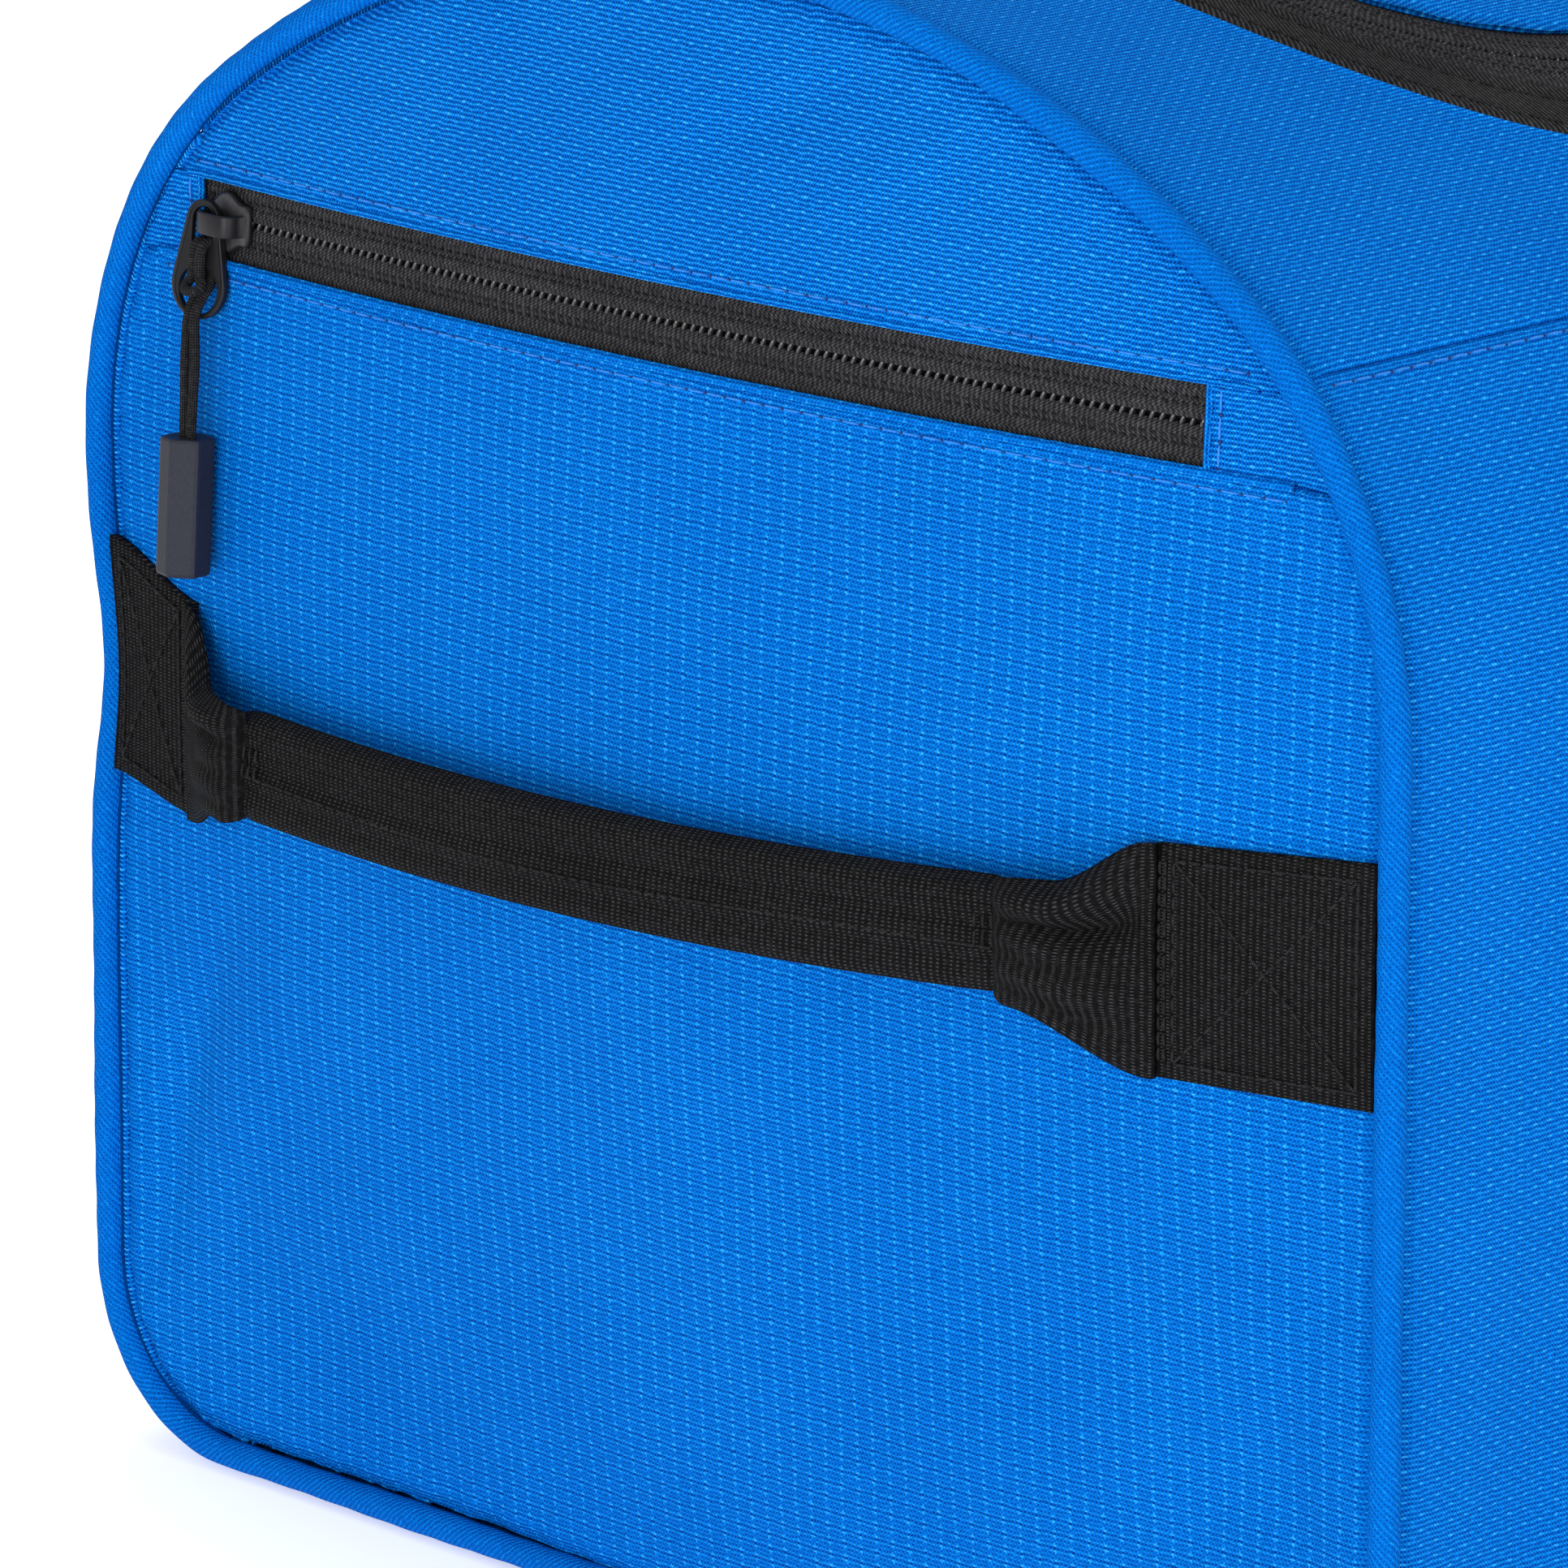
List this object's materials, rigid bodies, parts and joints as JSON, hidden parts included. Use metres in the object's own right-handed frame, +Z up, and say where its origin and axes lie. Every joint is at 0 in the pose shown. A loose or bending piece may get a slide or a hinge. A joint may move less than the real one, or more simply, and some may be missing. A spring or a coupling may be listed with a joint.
{
  "type": "ski boot bag",
  "caption": "Arched duffel bag for ski boots with a U-shaped zipped lid, a zipped end pocket, piped end panels, webbing grab handles on both ends and two carry handles.",
  "frame": {"origin": "middle of the flat base, on the surface the bag stands on", "axes": "+X along the bag away from the pocket end, -Y the front where the lid opens, +Z up"},
  "size_m": [0.5234, 0.3764, 0.3471],
  "materials": {
    "blue_cloth": "dobby-woven polyester with a light dash pattern",
    "piping_cloth": "the same cloth cut on the bias round a cord",
    "webbing": "ribbed polyester webbing, matte",
    "zip_tape": "herringbone woven tape",
    "binding_tape": "twill tape",
    "zip_coil": "nylon coil, glossy",
    "black_metal": "satin black coating",
    "braided_cord": "fine round braid",
    "rubber_grip": "matte moulded rubber",
    "stiffener": "hard board",
    "lining": "plain woven lining"
  },
  "bodies": {
    "bag": {"base_panel": "blue_cloth", "base_board": "stiffener", "front_side_panel": "blue_cloth", "back_side_panel": "blue_cloth", "front_yoke": "blue_cloth", "back_yoke": "blue_cloth", "end_yokes": "blue_cloth", "pocket_panel": "blue_cloth", "upper_end_panel": "blue_cloth", "zip_end_tabs": "blue_cloth", "pocket_lining": "lining", "pocket_zip_tapes": "zip_tape", "pocket_zip_chain": "zip_coil", "far_end_panel": "blue_cloth", "end_piping": "piping_cloth", "far_end_piping": "piping_cloth", "end_seam_binding": "binding_tape", "far_seam_binding": "binding_tape", "front_seam_binding": "binding_tape", "back_seam_binding": "binding_tape", "mouth_binding": "binding_tape", "mouth_zip_tape": "zip_tape", "mouth_zip_coil": "zip_coil", "lid_hinge_binding": "binding_tape", "end_handle_anchors": "webbing", "far_handle_anchors": "webbing", "front_handle_anchors": "webbing", "back_handle_anchors": "webbing"},
    "lid": {"lid_panel": "blue_cloth", "lid_zip_tape": "zip_tape", "lid_zip_coil": "zip_coil"},
    "end_handle": {"end_handle_strap": "webbing"},
    "far_handle": {"far_handle_strap": "webbing"},
    "front_handle": {"front_carry_handle": "webbing"},
    "back_handle": {"back_carry_handle": "webbing"},
    "pocket_slider": {"pocket_slider": "black_metal"},
    "pocket_puller": {"pocket_puller": "black_metal"},
    "pocket_pull": {"pocket_pull_cord": "braided_cord", "pocket_pull_grip": "rubber_grip"},
    "left_slider": {"left_lid_slider": "black_metal"},
    "left_puller": {"left_lid_puller": "black_metal"},
    "left_pull": {"left_lid_pull_cord": "braided_cord", "left_lid_pull_grip": "rubber_grip"},
    "right_slider": {"right_lid_slider": "black_metal"},
    "right_puller": {"right_lid_puller": "black_metal"},
    "right_pull": {"right_lid_pull_cord": "braided_cord", "right_lid_pull_grip": "rubber_grip"}
  },
  "joints": [
    {"name": "lid_hinge", "type": "hinge", "parent": "bag", "child": "lid", "pos_m": [0, 0.11014, 0.31776], "axis": [-1, 0, 0], "range_deg": [0, 95]},
    {"name": "end_handle_lift", "type": "hinge", "parent": "bag", "child": "end_handle", "pos_m": [-0.2515, 0.01, 0.179], "axis": [0, 1, 0], "range_deg": [0, 60]},
    {"name": "far_handle_lift", "type": "hinge", "parent": "bag", "child": "far_handle", "pos_m": [0.2515, -0.01, 0.179], "axis": [0, -1, 0], "range_deg": [0, 60]},
    {"name": "front_handle_swing", "type": "hinge", "parent": "bag", "child": "front_handle", "pos_m": [0, -0.1852, 0.252], "axis": [-1, 0, 0], "range_deg": [0, 175]},
    {"name": "back_handle_swing", "type": "hinge", "parent": "bag", "child": "back_handle", "pos_m": [0, 0.1852, 0.252], "axis": [1, 0, 0], "range_deg": [0, 175]},
    {"name": "pocket_zip_travel", "type": "hinge", "parent": "bag", "child": "pocket_slider", "pos_m": [1.109, 0.00205, 0.27098], "axis": [0, 0.0209, 0.9998], "range_deg": [0, 11.07]},
    {"name": "pocket_puller_swing", "type": "hinge", "parent": "pocket_slider", "child": "pocket_puller", "pos_m": [-0.23798, 0.14602, 0.26812], "axis": [-0.9921, 0.104, 0.0701], "range_deg": [-25, 25]},
    {"name": "pocket_pull_lift", "type": "hinge", "parent": "pocket_puller", "child": "pocket_pull", "pos_m": [-0.239, 0.14596, 0.25999], "axis": [-0.1562, 0.9877, 0.0115], "range_deg": [0, 90]},
    {"name": "left_lid_zip_travel", "type": "slide", "parent": "lid", "child": "left_slider", "axis": [-1, 0, 0], "range_m": [0, 0.055]},
    {"name": "left_lid_puller_swing", "type": "hinge", "parent": "left_slider", "child": "left_puller", "pos_m": [-0.0152, -0.10606, 0.32191], "axis": [0, -0.4352, 0.9004], "range_deg": [-25, 12]},
    {"name": "left_lid_pull_lift", "type": "hinge", "parent": "left_puller", "child": "left_pull", "pos_m": [-0.0152, -0.11362, 0.31874], "axis": [-0.9659, 0.1003, -0.2386], "range_deg": [0, 90]},
    {"name": "right_lid_zip_travel", "type": "slide", "parent": "lid", "child": "right_slider", "axis": [1, 0, 0], "range_m": [0, 0.055]},
    {"name": "right_lid_puller_swing", "type": "hinge", "parent": "right_slider", "child": "right_puller", "pos_m": [0.0152, -0.10606, 0.32191], "axis": [0, -0.4352, 0.9004], "range_deg": [-12, 25]},
    {"name": "right_lid_pull_lift", "type": "hinge", "parent": "right_puller", "child": "right_pull", "pos_m": [0.0152, -0.11362, 0.31874], "axis": [-0.9659, -0.1003, 0.2386], "range_deg": [0, 90]}
  ]
}
